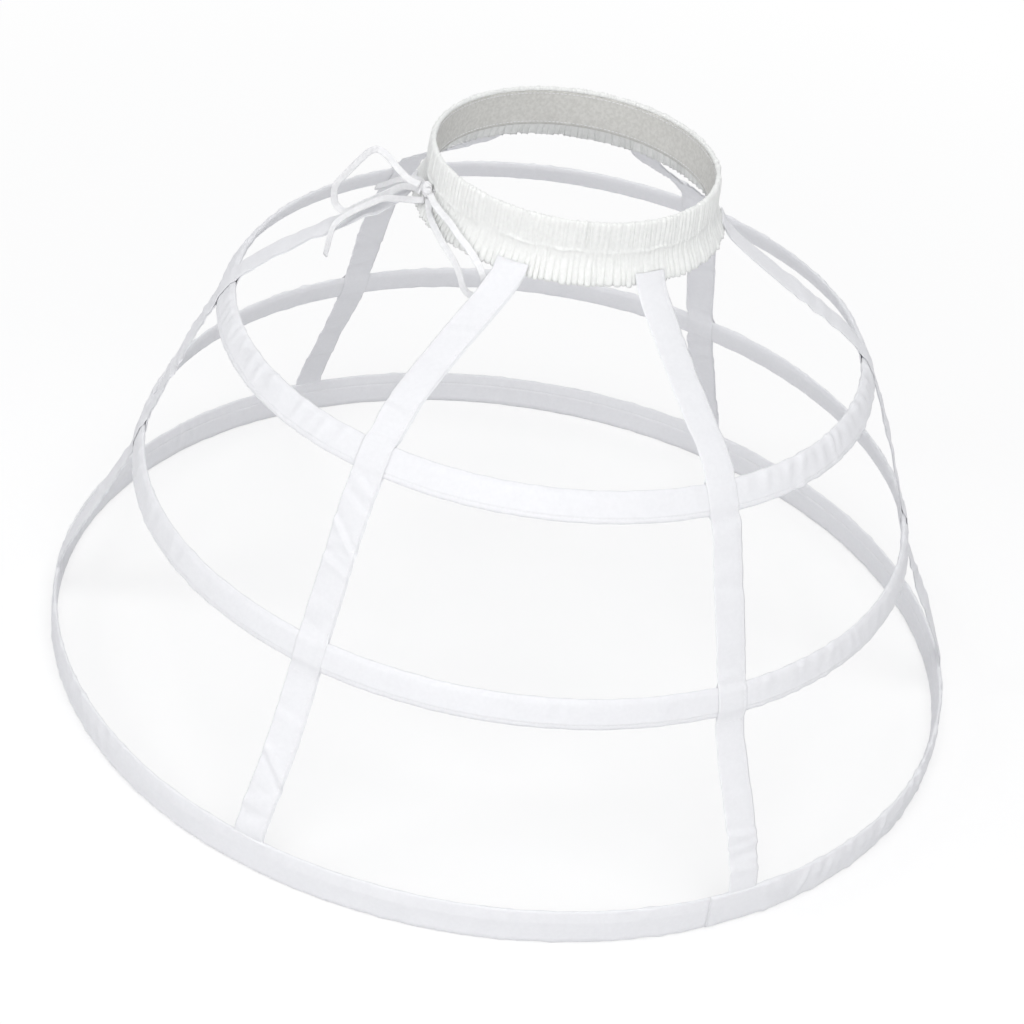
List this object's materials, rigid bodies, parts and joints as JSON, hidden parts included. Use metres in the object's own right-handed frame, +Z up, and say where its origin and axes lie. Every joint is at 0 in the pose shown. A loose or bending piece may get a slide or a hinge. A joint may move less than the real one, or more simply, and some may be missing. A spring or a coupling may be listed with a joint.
{
  "type": "crinoline cage",
  "caption": "Open hoop-skirt underframe: a gathered elastic waistband with a drawstring bow carries tape straps and boned hoops that hold a full skirt away from the legs.",
  "frame": {"origin": "middle of the waist elastic, on the axis of the waist", "axes": "+Z up along the waist's axis, -Y to the front of the picture, +X to the picture's right"},
  "size_m": [0.7463, 0.7464, 0.4612],
  "materials": {
    "cotton_cloth": "plain-woven white cotton",
    "strap_tape": "folded cotton tape, topstitched",
    "waist_elastic": "flat woven elastic, grey-beige",
    "cord": "narrow woven tape",
    "bone": "flat hoop boning",
    "ferrule": "flattened tube"
  },
  "bodies": {
    "root": {"waistband_cover": "cotton_cloth", "waist_elastic": "waist_elastic", "drawstring": "cord", "bow_knot": "cord", "bow_loop_upper": "cord", "bow_loop_lower": "cord", "bow_tail_short": "cord", "bow_tail_long": "cord", "strap_right": "strap_tape", "strap_back_right": "strap_tape", "strap_back_left": "strap_tape", "strap_left": "strap_tape", "strap_front_left": "strap_tape", "strap_front_right": "strap_tape", "hoop_casing_upper": "cotton_cloth", "hoop_casing_middle": "cotton_cloth", "hem_casing": "cotton_cloth", "hoop_bone_upper": "bone", "hoop_bone_middle": "bone", "hem_bone": "bone", "bone_ferrule_upper": "ferrule", "bone_ferrule_middle": "ferrule", "bone_ferrule_hem": "ferrule"}
  },
  "joints": []
}
